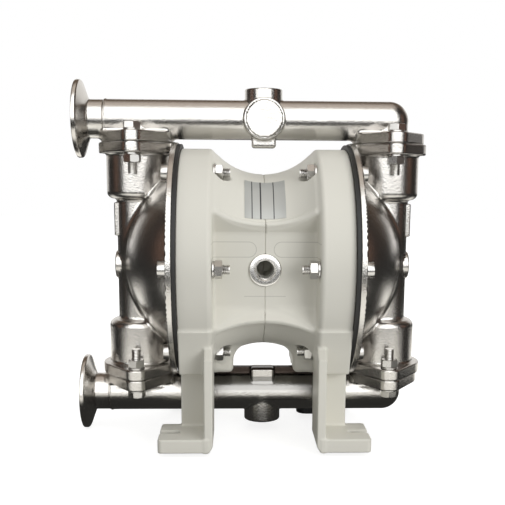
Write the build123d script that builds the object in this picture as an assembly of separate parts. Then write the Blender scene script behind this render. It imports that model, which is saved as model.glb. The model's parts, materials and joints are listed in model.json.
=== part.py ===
from build123d import *
import math
import os

# Air operated double diaphragm pump: two moulded plastic housing halves with legs, two
# stainless liquid chambers, stainless suction and discharge manifolds with clamp ferrules.
# Millimetres. X runs across the pump, along the shaft; the pump faces -Y; +Z is up.
# The origin is on the floor, midway between the four feet.

# ---- driving dimensions: overall layout ---------------------------------------------
shaft_height = 115.0            # floor to shaft axis
column_x = 83.8                 # shaft centre to the axis of a valve column
manifold_height = 92.3          # shaft axis to the axis of either manifold
flange_plane = 77.0             # shaft axis to the joint between chamber and manifold

# ---- housing halves -----------------------------------------------------------------
saddle_half_width = 32.5        # seam to the inner face of a housing flange
housing_flange_thickness = 21.6
housing_flange_radius = 73.5
waist_radius = 57.0             # barrel radius at the seam
saddle_arc_radius = 43.0        # hollow curve of the barrel between the flanges
panel_y = 51.0                  # front panel, and how far it stands from the shaft axis
panel_top = 22.0
panel_bottom = -27.0
upper_lip = (62.0, 35.0)        # (distance forward, height) where the upper slope ends
lower_lip = (59.0, -40.5)
lip_overrun = 12.0              # how far the recess cut runs on past its lips
plenum_depth = 14.0             # air space each side of the seam
plenum_core_radius = 22.0       # sleeve left around the shaft
barrel_wall = 6.0
cavity_radius = 58.0            # air side of the diaphragm
cavity_floor_x = 38.0
cavity_floor_radius = 38.0
cavity_shoulder_x = 47.0
rear_seat_y = 58.0              # flat at the back that carries the air valve
valve_base_half_height = 26.0
valve_base_half_width = 31.0
seat_clearance = 0.8            # round the air valve base in its rear pocket
panel_outline_depth = 0.6
panel_outline_width = 26.0
panel_outline_height = 10.0
panel_outline_x = 21.0
panel_outline_z = 11.0
panel_outline_line = 1.2

# ---- legs and feet ------------------------------------------------------------------
leg_front_y = 68.0
leg_back_y = 33.0
leg_rib_thickness = 5.5
leg_panel_thickness = 5.6
leg_top_z = -45.0
leg_shoulder_z = -56.0
foot_outer_x = 67.0
foot_thickness = 8.8
foot_corner_radius = 3.0
leg_heel_radius = 5.0
foot_slot_width = 6.6           # for M6
foot_slot_y = 51.0
foot_slot_inner_x = 57.0

# ---- liquid chambers ----------------------------------------------------------------
diaphragm_thickness = 2.3
rim_thickness = 2.9
rim_radius = 77.5
rim_lip_height = 0.8            # raised band round the edge of the rim
rim_lip_width = 3.0
dome_apex_x = 92.0
dome_radius = 70.5
dome_wall = 3.0
column_radius = 14.2
column_bore = 10.2
cage_radius = 20.5
cage_bore = 15.5
cage_end = 45.0                 # shaft axis to where a cage meets the thinner column
cage_shoulder = 4.0
flange_thickness = 7.0
chamber_flange_radius = 24.4
manifold_flange_radius = 23.5
lug_y = 28.0
lug_radius = 8.0
outlet_seat_bottom = 51.0
column_pad_width = 15.0
column_pad_height = 22.0
column_pad_z = 27.0
column_pad_proud = 0.9
medallion_radius = 9.2
medallion_z = -3.7

# ---- ball valves --------------------------------------------------------------------
ball_radius = 10.5
ball_lift = 5.5
ball_seat_gap = 0.05
seat_bore = 8.0
seat_thickness = 5.0
seat_outer_gap = 0.1
ball_height_on_seat = 4.5       # ball centre above the top face of its seat
stop_bar_width = 2.5
stop_bar_height = 4.0
stop_gap = 0.5

# ---- manifolds and ferrules ---------------------------------------------------------
pipe_radius = 12.7
pipe_bore = 11.05
casting_end_x = 104.0
stub_end_x = 114.7
ferrule_face_x = 122.7
ferrule_radius = 25.25
ferrule_rim = 2.85
ferrule_back_angle = 20.0
ferrule_groove_radius = 21.8
ferrule_groove = 1.5
neck_radius = 15.5
neck_height = 4.5
centre_boss_radius = 12.0
centre_boss_reach = 19.7        # from the pipe axis
front_boss_radius = 13.0
front_boss_reach = 20.0
front_boss_face = 1.0           # raised machined face
front_boss_face_radius = 11.6
pad_width = 16.0
pad_reach = 18.3
pad_depth = 12.0
rib_half_length = 50.0
rib_thickness = 5.0
rib_reach = 17.6
port_seal_radius = 18.4
port_seal_section = 1.3
port_seal_squeeze = 0.2

# ---- shaft, plates, diaphragms ------------------------------------------------------
shaft_radius = 8.0
stud_radius = 5.0
stroke = 6.0                    # each way from the middle
inner_plate_radius = 35.0
inner_plate_hub = 8.1
inner_plate_edge = 3.0
outer_plate_radius = 34.0
outer_plate_edge = 3.6
outer_plate_height = 13.0
outer_hub_radius = 13.0
stud_reach = 8.0                # thread past the diaphragm, inside the outer plate
thread_gap = 0.05
running_gap = 0.03
bushing_radius = 11.0
bushing_length = 20.0
shaft_seal_length = 4.0
diaphragm_hole_gap = 0.1
diaphragm_clamp_radius = 36.0
convolution_depth = 6.0
convolution_gap = 1.0           # between the roll and the wall of the air cavity
rim_seal_inset = 1.0            # diaphragm edge inside the chamber rim

# ---- air motor ----------------------------------------------------------------------
pilot_radius = 3.0
pilot_height = 28.0
pilot_bushing_radius = 5.5
pilot_bushing_length = 12.0
pilot_ratio = 0.4               # pilot travel for each unit of shaft travel
pilot_end_gap = 0.1
gasket_thickness = 1.0
valve_base_depth = 15.0
valve_block_depth = 24.0
valve_block_half_length = 44.0
valve_block_half_height = 19.0
spool_radius = 9.0
spool_neck_radius = 5.5
spool_half_length = 36.0
spool_land = 11.0
spool_travel = 4.0
spool_cap_depth = 5.0
port_radius = 4.0
chamber_port = (19.5, 13.0)     # (across, up) on the valve base
exhaust_port = (19.5, -13.0)
chamber_port_y = 30.0
exhaust_drop_x = 31.0
exhaust_drop_y = 25.0
inlet_height = -2.0
inlet_passage_radius = 5.0
inlet_ring_radius = 10.0
inlet_ring_proud = 1.6
inlet_ring_depth = 12.0
inlet_thread_radius = 5.72      # G1/4 minor radius
inlet_mouth_radius = 6.6
inlet_mouth_depth = 1.2

# ---- silencer -----------------------------------------------------------------------
silencer_x = 43.0
silencer_half_width = 17.0
silencer_front_y = 14.8
silencer_back_y = 31.8
silencer_corner = 7.0
silencer_floor_gap = 1.0
silencer_top = -81.0
silencer_wall = 2.5
silencer_neck_radius = 6.5
silencer_neck_bore = 4.0
silencer_neck_length = 16.0
silencer_slot = 2.0
silencer_slots = 4

# ---- fasteners ----------------------------------------------------------------------
rim_screw_circle = 66.5
rim_screw_count = 6
screw_radius = 3.0              # M6
hole_gap = 0.3                  # clearance holes
cap_head_radius = 5.0
cap_head_height = 6.0
cap_socket = 5.0                # across flats
cap_socket_depth = 3.0
nut_flats = 10.0
nut_height = 5.0
washer_radius = 5.5
washer_thickness = 1.2
stud_end = 4.5                  # thread past a rim nut
flange_stud_end = 7.0           # thread past a manifold flange nut
hex_head_height = 4.0
nut_pocket_radius = 7.5
tie_bolt_radius = 3.0
tie_circle = 30.0
tie_angles = (60, 120, 240, 300)
tie_head_radius = 5.0
tie_head_height = 6.0
tie_pocket_gap = 1.0
tie_nut_flats = 10.0
tie_post_radius = 7.0
valve_screw = (26.0, 21.0)      # (across, up)
valve_screw_radius = 2.5        # M5
valve_head_radius = 4.25
valve_head_height = 5.0
valve_screw_grip = 12.0         # thread in the housing
cap_screw = (8.0, 14.0)         # (across the cap, up) from the spool axis
cap_screw_radius = 1.5
cap_screw_head = 2.75
cap_screw_head_height = 3.0
cap_screw_grip = 8.0

# ---- label --------------------------------------------------------------------------
plate_half_width = 12.8
plate_thickness = 0.3
plate_low_angle = 31.0
plate_high_angle = 64.0

# ---- derived places -----------------------------------------------------------------
over = 1.0                      # how far a cutting tool runs past the face it opens
flange_face_x = saddle_half_width + housing_flange_thickness
rim_inner_x = flange_face_x + diaphragm_thickness
rim_outer_x = rim_inner_x + rim_thickness
dome_centre_x = dome_apex_x - dome_radius
saddle_centre = waist_radius + saddle_arc_radius
barrel_edge = saddle_centre - math.sqrt(saddle_arc_radius**2 - saddle_half_width**2)
plate_face_x = flange_face_x - inner_plate_hub
inlet_seat_top = -flange_plane + seat_thickness
inlet_ball_z = inlet_seat_top + ball_height_on_seat
outlet_ball_z = outlet_seat_bottom + seat_thickness + ball_height_on_seat
inlet_stop_z = inlet_ball_z + ball_radius + ball_lift + stop_gap
valve_base_y = rear_seat_y + gasket_thickness
valve_block_y = valve_base_y + valve_base_depth
spool_y = valve_block_y + valve_block_depth / 2
valve_back_y = valve_block_y + valve_block_depth
pilot_half_length = plate_face_x - stroke + pilot_ratio * stroke - pilot_end_gap
nut_face_x = saddle_half_width - washer_thickness
nut_notch_x = nut_face_x - nut_height - stud_end - over
silencer_bottom = silencer_floor_gap - shaft_height
boss_top = silencer_top + silencer_neck_length
boss_bottom = silencer_top + silencer_wall
boss_root = boss_top + barrel_wall / 2
floor_z = -shaft_height


def rod_x(radius, x0, x1, y=0.0, z=0.0):
    """Cylinder along X between two stations."""
    return Pos((x0 + x1) / 2, y, z) * Rot(0, 90, 0) * Cylinder(radius, abs(x1 - x0))


def rod_y(radius, y0, y1, x=0.0, z=0.0):
    """Cylinder along Y between two stations."""
    return Pos(x, (y0 + y1) / 2, z) * Rot(90, 0, 0) * Cylinder(radius, abs(y1 - y0))


def rod_z(radius, z0, z1, x=0.0, y=0.0):
    """Cylinder along Z between two heights."""
    return Pos(x, y, (z0 + z1) / 2) * Cylinder(radius, abs(z1 - z0))


def slab(x0, x1, y0, y1, z0, z1):
    """Box given by its corners."""
    centre = Pos((x0 + x1) / 2, (y0 + y1) / 2, (z0 + z1) / 2)
    return centre * Box(abs(x1 - x0), abs(y1 - y0), abs(z1 - z0))


def turned_x(points):
    """Solid turned about the X axis from (x, radius) points."""
    face = make_face(Polyline(*[(x, r, 0) for x, r in points], close=True))
    return revolve(face, Axis.X)


def hex_bar(flats, height, axis_turn):
    """Hexagonal bar along Z (axis_turn 0) or along X (axis_turn 90)."""
    bar = extrude(RegularPolygon(flats / 2, 6, major_radius=False), height / 2, both=True)
    return Rot(0, axis_turn, 0) * bar


def around_shaft(radius, angles):
    """(y, z) places on a circle about the shaft."""
    return [(radius * math.cos(math.radians(a)), radius * math.sin(math.radians(a))) for a in angles]


def other_side(solid):
    """The same piece for the other side of the seam."""
    return mirror(solid, Plane.YZ)


def group(pieces):
    """Separate solids that share one node."""
    return Compound(children=[s for piece in pieces for s in piece.solids()])


rim_angles = [i * 360 / rim_screw_count for i in range(rim_screw_count)]
rim_places = around_shaft(rim_screw_circle, rim_angles)
tie_places = around_shaft(tie_circle, tie_angles)
corners = [(sx, sy) for sx in (-1, 1) for sy in (-1, 1)]


# ---- housings -----------------------------------------------------------------------
def barrel_profile(inset, x_end):
    """Closed face under the saddle curve, out to x_end, drawn inset below the surface."""
    arc_radius = saddle_arc_radius + inset
    edge = saddle_centre - math.sqrt(arc_radius**2 - x_end**2)
    middle_x = arc_radius * math.sin(math.asin(x_end / arc_radius) / 2)
    middle = saddle_centre - math.sqrt(arc_radius**2 - middle_x**2)
    top = saddle_centre - arc_radius
    curve = ThreePointArc((0, top, 0), (middle_x, middle, 0), (x_end, edge, 0))
    sides = Polyline((x_end, edge, 0), (x_end, 0, 0), (0, 0, 0), (0, top, 0))
    return make_face(curve + sides)


def leg(side):
    """One leg of the right half; side is -1 in front and 1 behind."""
    front, back = side * leg_front_y, side * leg_back_y
    rib_outline = make_face(Polyline(
        (back, leg_top_z), (side * (leg_back_y + leg_front_y) / 2, leg_top_z), (front, leg_shoulder_z),
        (front, floor_z), (back, floor_z), close=True))
    rib = Pos(saddle_half_width, 0, 0) * extrude(Plane.YZ * rib_outline, leg_rib_thickness)
    heel = rib.edges().filter_by(Axis.Y).group_by(Axis.Z)[0].sort_by(Axis.X)[0]
    rib = fillet(heel, leg_heel_radius)
    foot = slab(saddle_half_width + leg_heel_radius, foot_outer_x, front, back, floor_z, floor_z + foot_thickness)
    outer = foot.edges().filter_by(Axis.Z).group_by(Axis.X)[-1]
    foot = fillet(outer, foot_corner_radius)
    slot_y = side * foot_slot_y
    slot = slab(foot_slot_inner_x, foot_outer_x + over, slot_y - foot_slot_width / 2,
                slot_y + foot_slot_width / 2, floor_z - over, floor_z + foot_thickness + over)
    slot += rod_z(foot_slot_width / 2, floor_z - over, floor_z + foot_thickness + over, foot_slot_inner_x, slot_y)
    panel = slab(saddle_half_width + leg_rib_thickness / 2, flange_face_x, back,
                 side * (leg_back_y + leg_panel_thickness), floor_z + foot_thickness / 2, leg_top_z)
    return rib + (foot - slot) + panel


def panel_recess():
    """Cut that leaves the flat front panel between its two sloped lips."""
    def beyond(start, end):
        run = math.hypot(end[0] - start[0], end[1] - start[1])
        return tuple(e + (e - s) * lip_overrun / run for s, e in zip(start, end))
    upper = beyond((panel_y, panel_top), upper_lip)
    lower = beyond((panel_y, panel_bottom), lower_lip)
    outline = make_face(Polyline(
        (-panel_y, panel_top), (-upper[0], upper[1]), (-rim_radius, upper[1]), (-rim_radius, lower[1]),
        (-lower[0], lower[1]), (-panel_y, panel_bottom), close=True))
    return Pos(-over, 0, 0) * extrude(Plane.YZ * outline, saddle_half_width + over)


def plenum():
    """Air space beside the seam, round the shaft sleeve and clear of the tie bolt posts."""
    space = revolve(barrel_profile(barrel_wall, plenum_depth), Axis.X)
    space -= rod_x(plenum_core_radius, -over, plenum_depth + over)
    space &= slab(0, plenum_depth, inlet_ring_depth - panel_y, rear_seat_y - barrel_wall, -waist_radius, waist_radius)
    for y, z in tie_places:
        space -= rod_x(tie_post_radius, -over, plenum_depth + over, y, z)
    pilot_post = rod_x(pilot_bushing_radius + port_radius, -over, plenum_depth + over, 0, pilot_height)
    return space - pilot_post


def air_cavity():
    """Bowl on the air side of the diaphragm."""
    return turned_x([
        (flange_face_x + over, 0), (flange_face_x + over, cavity_radius), (flange_face_x, cavity_radius),
        (cavity_shoulder_x, cavity_radius - over), (cavity_floor_x, cavity_floor_radius), (cavity_floor_x, 0)])


def nut_pocket(y, z):
    """Room in the barrel for the nut and stud end of a rim screw."""
    return rod_x(nut_pocket_radius, nut_notch_x, saddle_half_width, y, z)


def right_half():
    """What the two halves have in common, drawn as the right one."""
    body = revolve(barrel_profile(0, saddle_half_width), Axis.X)
    body -= panel_recess()
    body += rod_x(housing_flange_radius, saddle_half_width, flange_face_x)
    for side in (-1, 1):
        body += leg(side)
    body -= air_cavity()
    body -= plenum()
    for y, z in rim_places:
        body -= rod_x(screw_radius + hole_gap, saddle_half_width - over, flange_face_x + over, y, z)
        body -= nut_pocket(y, z)
    pocket_z = valve_base_half_height + seat_clearance
    body -= slab(-over, saddle_half_width, rear_seat_y, rim_radius, -pocket_z, pocket_z)
    body -= rod_x(bushing_radius, plenum_depth, cavity_floor_x + over)
    body -= rod_x(shaft_radius + hole_gap, -over, plenum_depth + over)
    body -= rod_x(pilot_bushing_radius, cavity_floor_x - pilot_bushing_length, cavity_floor_x + over, 0, pilot_height)
    body -= rod_x(pilot_radius + hole_gap, -over, cavity_floor_x, 0, pilot_height)
    for y, z in tie_places:
        body -= rod_x(tie_bolt_radius + hole_gap, -over, cavity_floor_x, y, z)
        body -= rod_x(tie_head_radius + tie_pocket_gap, cavity_floor_x - tie_head_height - tie_pocket_gap,
                      cavity_floor_x + over, y, z)
    body -= rod_y(inlet_ring_radius, -panel_y - over, inlet_ring_depth - panel_y, 0, inlet_height)
    body -= rod_y(inlet_passage_radius, rear_seat_y - barrel_wall - over, rear_seat_y + over, 0, inlet_height)
    port_x, port_z = chamber_port
    body -= rod_y(port_radius, chamber_port_y, rear_seat_y + over, port_x, port_z)
    body -= rod_x(port_radius, port_x, cavity_floor_x + over, chamber_port_y, port_z)
    for up in (-1, 1):
        body -= rod_y(valve_screw_radius + thread_gap, rear_seat_y - valve_screw_grip - over, rear_seat_y + over,
                      valve_screw[0], up * valve_screw[1])
    return body - panel_outline()


def panel_outline():
    """Shallow rounded outline moulded in the front panel beside the air inlet."""
    plane = Plane((panel_outline_x, -panel_y, panel_outline_z), x_dir=(1, 0, 0), z_dir=(0, 1, 0))
    outside = SlotOverall(panel_outline_width, panel_outline_height)
    inside = SlotOverall(panel_outline_width - 2 * panel_outline_line, panel_outline_height - 2 * panel_outline_line)
    groove = extrude(plane * (outside - inside), panel_outline_depth)
    return groove & slab(0, saddle_half_width, -panel_y, panel_outline_depth - panel_y, panel_bottom, panel_top)


def exhaust_passage():
    """Drilled way from the air valve to the silencer under the right flange."""
    port_x, port_z = exhaust_port
    way = rod_y(port_radius, exhaust_drop_y, rear_seat_y + over, port_x, port_z)
    way += rod_x(port_radius, port_x, exhaust_drop_x, exhaust_drop_y, port_z)
    way += rod_z(port_radius, -housing_flange_radius, port_z, exhaust_drop_x, exhaust_drop_y)
    return way + rod_z(silencer_neck_radius, boss_bottom - over, boss_top, exhaust_drop_x, exhaust_drop_y)


def exhaust_boss():
    boss = rod_z(silencer_neck_radius + barrel_wall / 2, boss_bottom, boss_root, exhaust_drop_x, exhaust_drop_y)
    for y, z in rim_places:
        boss -= nut_pocket(y, z)
    return boss


half = right_half()
right_housing = half + exhaust_boss() - exhaust_passage()
left_housing = other_side(half)


# ---- liquid chambers ----------------------------------------------------------------
def lobed_plate(disc_radius, z0, z1):
    """Oval flange plate with a bolt lug in front and behind."""
    discs = [Circle(disc_radius), Pos(0, lug_y) * Circle(lug_radius), Pos(0, -lug_y) * Circle(lug_radius)]
    outline = make_hull([edge for disc in discs for edge in disc.edges()])
    plate = Pos(column_x, 0, z0) * extrude(outline, z1 - z0)
    for side in (-1, 1):
        plate -= rod_z(screw_radius + hole_gap, z0 - over, z1 + over, column_x, side * lug_y)
    return plate


def stop_bars(z0, reach):
    """Crossed bars that keep a ball in its cage."""
    bars = Pos(column_x, 0, z0 + stop_bar_height / 2) * Box(2 * reach, stop_bar_width, stop_bar_height)
    bars += Pos(column_x, 0, z0 + stop_bar_height / 2) * Box(stop_bar_width, 2 * reach, stop_bar_height)
    return bars


def dome(radius, x_base):
    """Cap of a ball about the shaft axis, flat at x_base."""
    rise = x_base - dome_centre_x
    base_radius = math.sqrt(radius**2 - rise**2)
    half_angle = math.atan2(base_radius, rise) / 2
    middle = (dome_centre_x + radius * math.cos(half_angle), radius * math.sin(half_angle), 0)
    apex = (dome_centre_x + radius, 0, 0)
    arc = ThreePointArc((x_base, base_radius, 0), middle, apex)
    return revolve(make_face(arc + Polyline(apex, (x_base, 0, 0), (x_base, base_radius, 0))), Axis.X)


def right_chamber_solid():
    outside = rod_x(rim_radius, rim_inner_x, rim_outer_x)
    outside += rod_x(rim_radius, rim_outer_x, rim_outer_x + rim_lip_height) - rod_x(
        rim_radius - rim_lip_width, rim_outer_x, rim_outer_x + rim_lip_height)
    outside += dome(dome_radius, rim_inner_x)
    outside += rod_z(column_radius, -flange_plane, flange_plane, column_x)
    for up in (-1, 1):
        outside += rod_z(cage_radius, up * cage_end, up * flange_plane, column_x)
        cone = Cone(column_radius, cage_radius, cage_shoulder)
        shoulder = Pos(column_x, 0, cage_end - cage_shoulder / 2) * cone
        outside += shoulder if up > 0 else mirror(shoulder, Plane.XY)
        z0, z1 = sorted((up * (flange_plane - flange_thickness), up * flange_plane))
        outside += lobed_plate(chamber_flange_radius, z0, z1)
    face_x = column_x + column_radius
    pad_back = column_x
    outside += slab(pad_back, face_x + column_pad_proud, -column_pad_width / 2, column_pad_width / 2,
                    column_pad_z - column_pad_height / 2, column_pad_z + column_pad_height / 2)
    outside += rod_x(medallion_radius, pad_back, face_x + column_pad_proud, 0, medallion_z)
    inside = dome(dome_radius - dome_wall, rim_inner_x - over)
    inside += rod_z(column_bore, -flange_plane, flange_plane, column_x)
    inside += rod_z(cage_bore, -flange_plane - over, -cage_end, column_x)
    inside += rod_z(cage_bore, outlet_seat_bottom, flange_plane + over, column_x)
    chamber = outside - inside
    for y, z in rim_places:
        chamber -= rod_x(screw_radius + hole_gap, rim_inner_x - over, rim_outer_x + over, y, z)
    return chamber + stop_bars(inlet_stop_z, (cage_bore + cage_radius) / 2)


right_chamber = right_chamber_solid()
left_chamber = other_side(right_chamber)


# ---- ball valves --------------------------------------------------------------------
def valve_seat(z_bottom, ball_z):
    seat = rod_z(cage_bore - seat_outer_gap, z_bottom, z_bottom + seat_thickness, column_x)
    seat -= rod_z(seat_bore, z_bottom - over, z_bottom + seat_thickness + over, column_x)
    return seat - Pos(column_x, 0, ball_z) * Sphere(ball_radius + ball_seat_gap)


right_inlet_seat = valve_seat(-flange_plane, inlet_ball_z)
right_outlet_seat = valve_seat(outlet_seat_bottom, outlet_ball_z)
right_inlet_ball = Pos(column_x, 0, inlet_ball_z) * Sphere(ball_radius)
right_outlet_ball = Pos(column_x, 0, outlet_ball_z) * Sphere(ball_radius)


# ---- manifolds ----------------------------------------------------------------------
def manifold(up):
    """Suction (up = -1) or discharge (up = 1) manifold, drawn on its own height."""
    axis_z = up * manifold_height
    joint = up * flange_plane
    outside = rod_x(pipe_radius, -casting_end_x, column_x, 0, axis_z)
    outside += rod_x(pipe_radius, -stub_end_x, -casting_end_x, 0, axis_z)
    outside += Pos(column_x, 0, axis_z) * Sphere(pipe_radius)
    plate_z = sorted((joint, joint + up * flange_thickness))
    plate = lobed_plate(manifold_flange_radius, *plate_z)
    neck = Pos(column_x, 0, flange_plane + flange_thickness + neck_height / 2) * Cone(
        neck_radius, pipe_radius, neck_height)
    riser = rod_z(pipe_radius, joint, axis_z, column_x)
    arm = plate + riser + (neck if up > 0 else mirror(neck, Plane.XY))
    outside += arm + other_side(arm)
    outside += rod_z(centre_boss_radius, axis_z, axis_z + up * centre_boss_reach)
    outside += slab(-pad_width / 2, pad_width / 2, -pad_depth, 0, axis_z - up * pad_reach, axis_z)
    if up > 0:
        outside += rod_y(front_boss_radius, -front_boss_reach, 0, 0, axis_z)
        outside += rod_y(front_boss_face_radius, -front_boss_reach - front_boss_face, 0, 0, axis_z)
    else:
        outside += slab(-rib_half_length, rib_half_length, -rib_thickness / 2, rib_thickness / 2,
                        axis_z, axis_z + rib_reach)
    bore = rod_x(pipe_bore, -stub_end_x - over, column_x, 0, axis_z)
    bore += Pos(column_x, 0, axis_z) * Sphere(pipe_bore)
    for side in (-1, 1):
        bore += rod_z(pipe_bore, joint - up * over, axis_z, side * column_x)
        bore += Pos(side * column_x, 0, joint) * seal_groove()
    outside -= bore
    if up > 0:
        bars = stop_bars(joint, (pipe_bore + pipe_radius) / 2)
        outside += bars + other_side(bars)
    return outside


def seal_groove():
    depth = 2 * (port_seal_section - port_seal_squeeze)
    ring = Cylinder(port_seal_radius + port_seal_section, 2 * depth)
    return ring - Cylinder(port_seal_radius - port_seal_section, 2 * depth)


def port_seals(up):
    """Two seal rings in the face grooves of a manifold, pressed flat against the chambers."""
    depth = 2 * (port_seal_section - port_seal_squeeze)
    ring = Cylinder(port_seal_radius + port_seal_section - port_seal_squeeze, depth)
    ring -= Cylinder(port_seal_radius - port_seal_section + port_seal_squeeze, depth)
    return group([Pos(side * column_x, 0, up * (flange_plane + depth / 2)) * ring for side in (-1, 1)])


def ferrule(up):
    """Clamp ferrule welded to the end of a manifold tube."""
    axis_z = up * manifold_height
    back = ferrule_face_x - ferrule_rim
    cone_rise = (back - stub_end_x) / math.tan(math.radians(90 - ferrule_back_angle))
    outline = [(-ferrule_face_x, 0), (-ferrule_face_x, ferrule_radius), (-back, ferrule_radius),
               (-back + (ferrule_radius - pipe_radius) * math.tan(math.radians(ferrule_back_angle)),
                pipe_radius + cone_rise), (-stub_end_x, pipe_radius), (-stub_end_x, 0)]
    body = turned_x(outline)
    body -= rod_x(pipe_bore, -ferrule_face_x - over, -stub_end_x + over)
    groove = rod_x(ferrule_groove_radius + ferrule_groove, -ferrule_face_x - over, -ferrule_face_x + ferrule_groove)
    groove -= rod_x(ferrule_groove_radius - ferrule_groove, -ferrule_face_x - over,
                    -ferrule_face_x + ferrule_groove)
    return Pos(0, 0, axis_z) * (body - groove)


# ---- diaphragms, shaft and plates ---------------------------------------------------
def diaphragm():
    """Moulded rubber disc with one rolled convolution between clamp and rim."""
    start, end = diaphragm_clamp_radius, cavity_radius - convolution_gap
    middle = (start + end) / 2
    edge = rim_radius - rim_seal_inset
    hole = stud_radius + diaphragm_hole_gap
    back = Polyline((flange_face_x, hole), (flange_face_x, start)) + ThreePointArc(
        (flange_face_x, start), (flange_face_x - convolution_depth, middle), (flange_face_x, end)) + Polyline(
        (flange_face_x, end), (flange_face_x, edge), (rim_inner_x, edge), (rim_inner_x, end - diaphragm_thickness))
    front = ThreePointArc(
        (rim_inner_x, end - diaphragm_thickness), (rim_inner_x - convolution_depth, middle),
        (rim_inner_x, start + diaphragm_thickness)) + Polyline(
        (rim_inner_x, start + diaphragm_thickness), (rim_inner_x, hole), (flange_face_x, hole))
    disc = revolve(make_face(back + front), Axis.X)
    for y, z in rim_places:
        disc -= rod_x(screw_radius + hole_gap, flange_face_x - over, rim_inner_x + over, y, z)
    return disc


def inner_plate():
    hub_x = flange_face_x - inner_plate_edge
    plate = turned_x([(flange_face_x, 0), (flange_face_x, inner_plate_radius), (hub_x, inner_plate_radius),
                      (plate_face_x, 2 * shaft_radius), (plate_face_x, 0)])
    return plate - rod_x(stud_radius + thread_gap, plate_face_x - over, flange_face_x + over)


def outer_plate():
    top_x = rim_inner_x + outer_plate_height
    edge_x = rim_inner_x + outer_plate_edge
    plate = turned_x([(rim_inner_x, 0), (rim_inner_x, outer_plate_radius), (edge_x, outer_plate_radius),
                      (top_x, outer_hub_radius), (top_x, 0)])
    stud_space = rod_x(stud_radius + thread_gap, rim_inner_x - over, rim_inner_x + stud_reach + thread_gap)
    return plate - stud_space


def shaft():
    rod = rod_x(shaft_radius, -plate_face_x, plate_face_x)
    return rod + rod_x(stud_radius, -rim_inner_x - stud_reach, rim_inner_x + stud_reach)


def shaft_bushing():
    start = cavity_floor_x - shaft_seal_length - bushing_length
    ring = rod_x(bushing_radius, start, start + bushing_length)
    return ring - rod_x(shaft_radius + running_gap, start - over, start + bushing_length + over)


def shaft_seal():
    start = cavity_floor_x - shaft_seal_length
    ring = rod_x(bushing_radius, start, cavity_floor_x)
    return ring - rod_x(shaft_radius + running_gap, start - over, cavity_floor_x + over)


# ---- air motor ----------------------------------------------------------------------
def pilot_bushing():
    start = cavity_floor_x - pilot_bushing_length
    ring = rod_x(pilot_bushing_radius, start, cavity_floor_x, 0, pilot_height)
    return ring - rod_x(pilot_radius + running_gap, start - over, cavity_floor_x + over, 0, pilot_height)


def air_valve_body():
    base = slab(-valve_base_half_width, valve_base_half_width, valve_base_y, valve_block_y,
                -valve_base_half_height, valve_base_half_height)
    block = slab(-valve_block_half_length, valve_block_half_length, valve_block_y, valve_back_y,
                 -valve_block_half_height, valve_block_half_height)
    body = base + block
    for y, z in rim_places[:1]:
        for side in (-1, 1):
            body -= slab(side * nut_notch_x, side * (valve_base_half_width + over), valve_base_y - over, valve_block_y,
                         z - nut_pocket_radius, z + nut_pocket_radius)
    body -= rod_x(spool_radius + running_gap, -valve_block_half_length - over, valve_block_half_length + over,
                  spool_y, 0)
    for side in (-1, 1):
        body -= rod_y(port_radius, valve_base_y - over, spool_y, side * chamber_port[0], chamber_port[1])
        for up in (-1, 1):
            body -= rod_y(valve_screw_radius + hole_gap, valve_base_y - over, valve_back_y + over,
                          side * valve_screw[0], up * valve_screw[1])
            body -= rod_y(valve_head_radius + hole_gap, valve_block_y, valve_back_y + over,
                          side * valve_screw[0], up * valve_screw[1])
        for y, z in cap_screw_places():
            body -= rod_x(cap_screw_radius + thread_gap, side * (valve_block_half_length - cap_screw_grip - over),
                          side * (valve_block_half_length + over), y, z)
    body -= rod_y(port_radius, valve_base_y - over, spool_y, *exhaust_port)
    return body - rod_y(inlet_passage_radius, valve_base_y - over, spool_y, 0, inlet_height)


def cap_screw_places():
    return [(spool_y + a * cap_screw[0], b * cap_screw[1]) for a, b in corners]


def valve_gasket():
    sheet = slab(-valve_base_half_width, valve_base_half_width, rear_seat_y, valve_base_y,
                 -valve_base_half_height, valve_base_half_height)
    for side in (-1, 1):
        sheet -= rod_y(port_radius, rear_seat_y - over, valve_base_y + over, side * chamber_port[0], chamber_port[1])
        for up in (-1, 1):
            sheet -= rod_y(valve_screw_radius + hole_gap, rear_seat_y - over, valve_base_y + over,
                           side * valve_screw[0], up * valve_screw[1])
    sheet -= rod_y(port_radius, rear_seat_y - over, valve_base_y + over, *exhaust_port)
    return sheet - rod_y(inlet_passage_radius, rear_seat_y - over, valve_base_y + over, 0, inlet_height)


def valve_cap():
    start, end = valve_block_half_length, valve_block_half_length + spool_cap_depth
    cap = slab(start, end, valve_block_y, valve_back_y, -valve_block_half_height, valve_block_half_height)
    cap = fillet(cap.edges().filter_by(Axis.X), valve_base_depth / 5)
    for y, z in cap_screw_places():
        cap -= rod_x(cap_screw_radius + hole_gap, start - over, end + over, y, z)
    return cap


def valve_spool():
    spool = rod_x(spool_neck_radius, -spool_half_length, spool_half_length, spool_y, 0)
    for station in (-1, 0, 1):
        middle = station * (spool_half_length - spool_land / 2)
        spool += rod_x(spool_radius, middle - spool_land / 2, middle + spool_land / 2, spool_y, 0)
    return spool


def inlet_bushing():
    """Threaded metal ring for the air line, let into the front panel across the seam."""
    front = -panel_y - inlet_ring_proud
    back = inlet_ring_depth - panel_y
    ring = rod_y(inlet_ring_radius, front, back, 0, inlet_height)
    ring = chamfer(ring.edges().group_by(Axis.Y)[0], inlet_ring_proud / 2)
    ring -= rod_y(inlet_thread_radius, front - over, back + over, 0, inlet_height)
    return ring - rod_y(inlet_mouth_radius, front - over, front + inlet_mouth_depth, 0, inlet_height)


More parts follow.
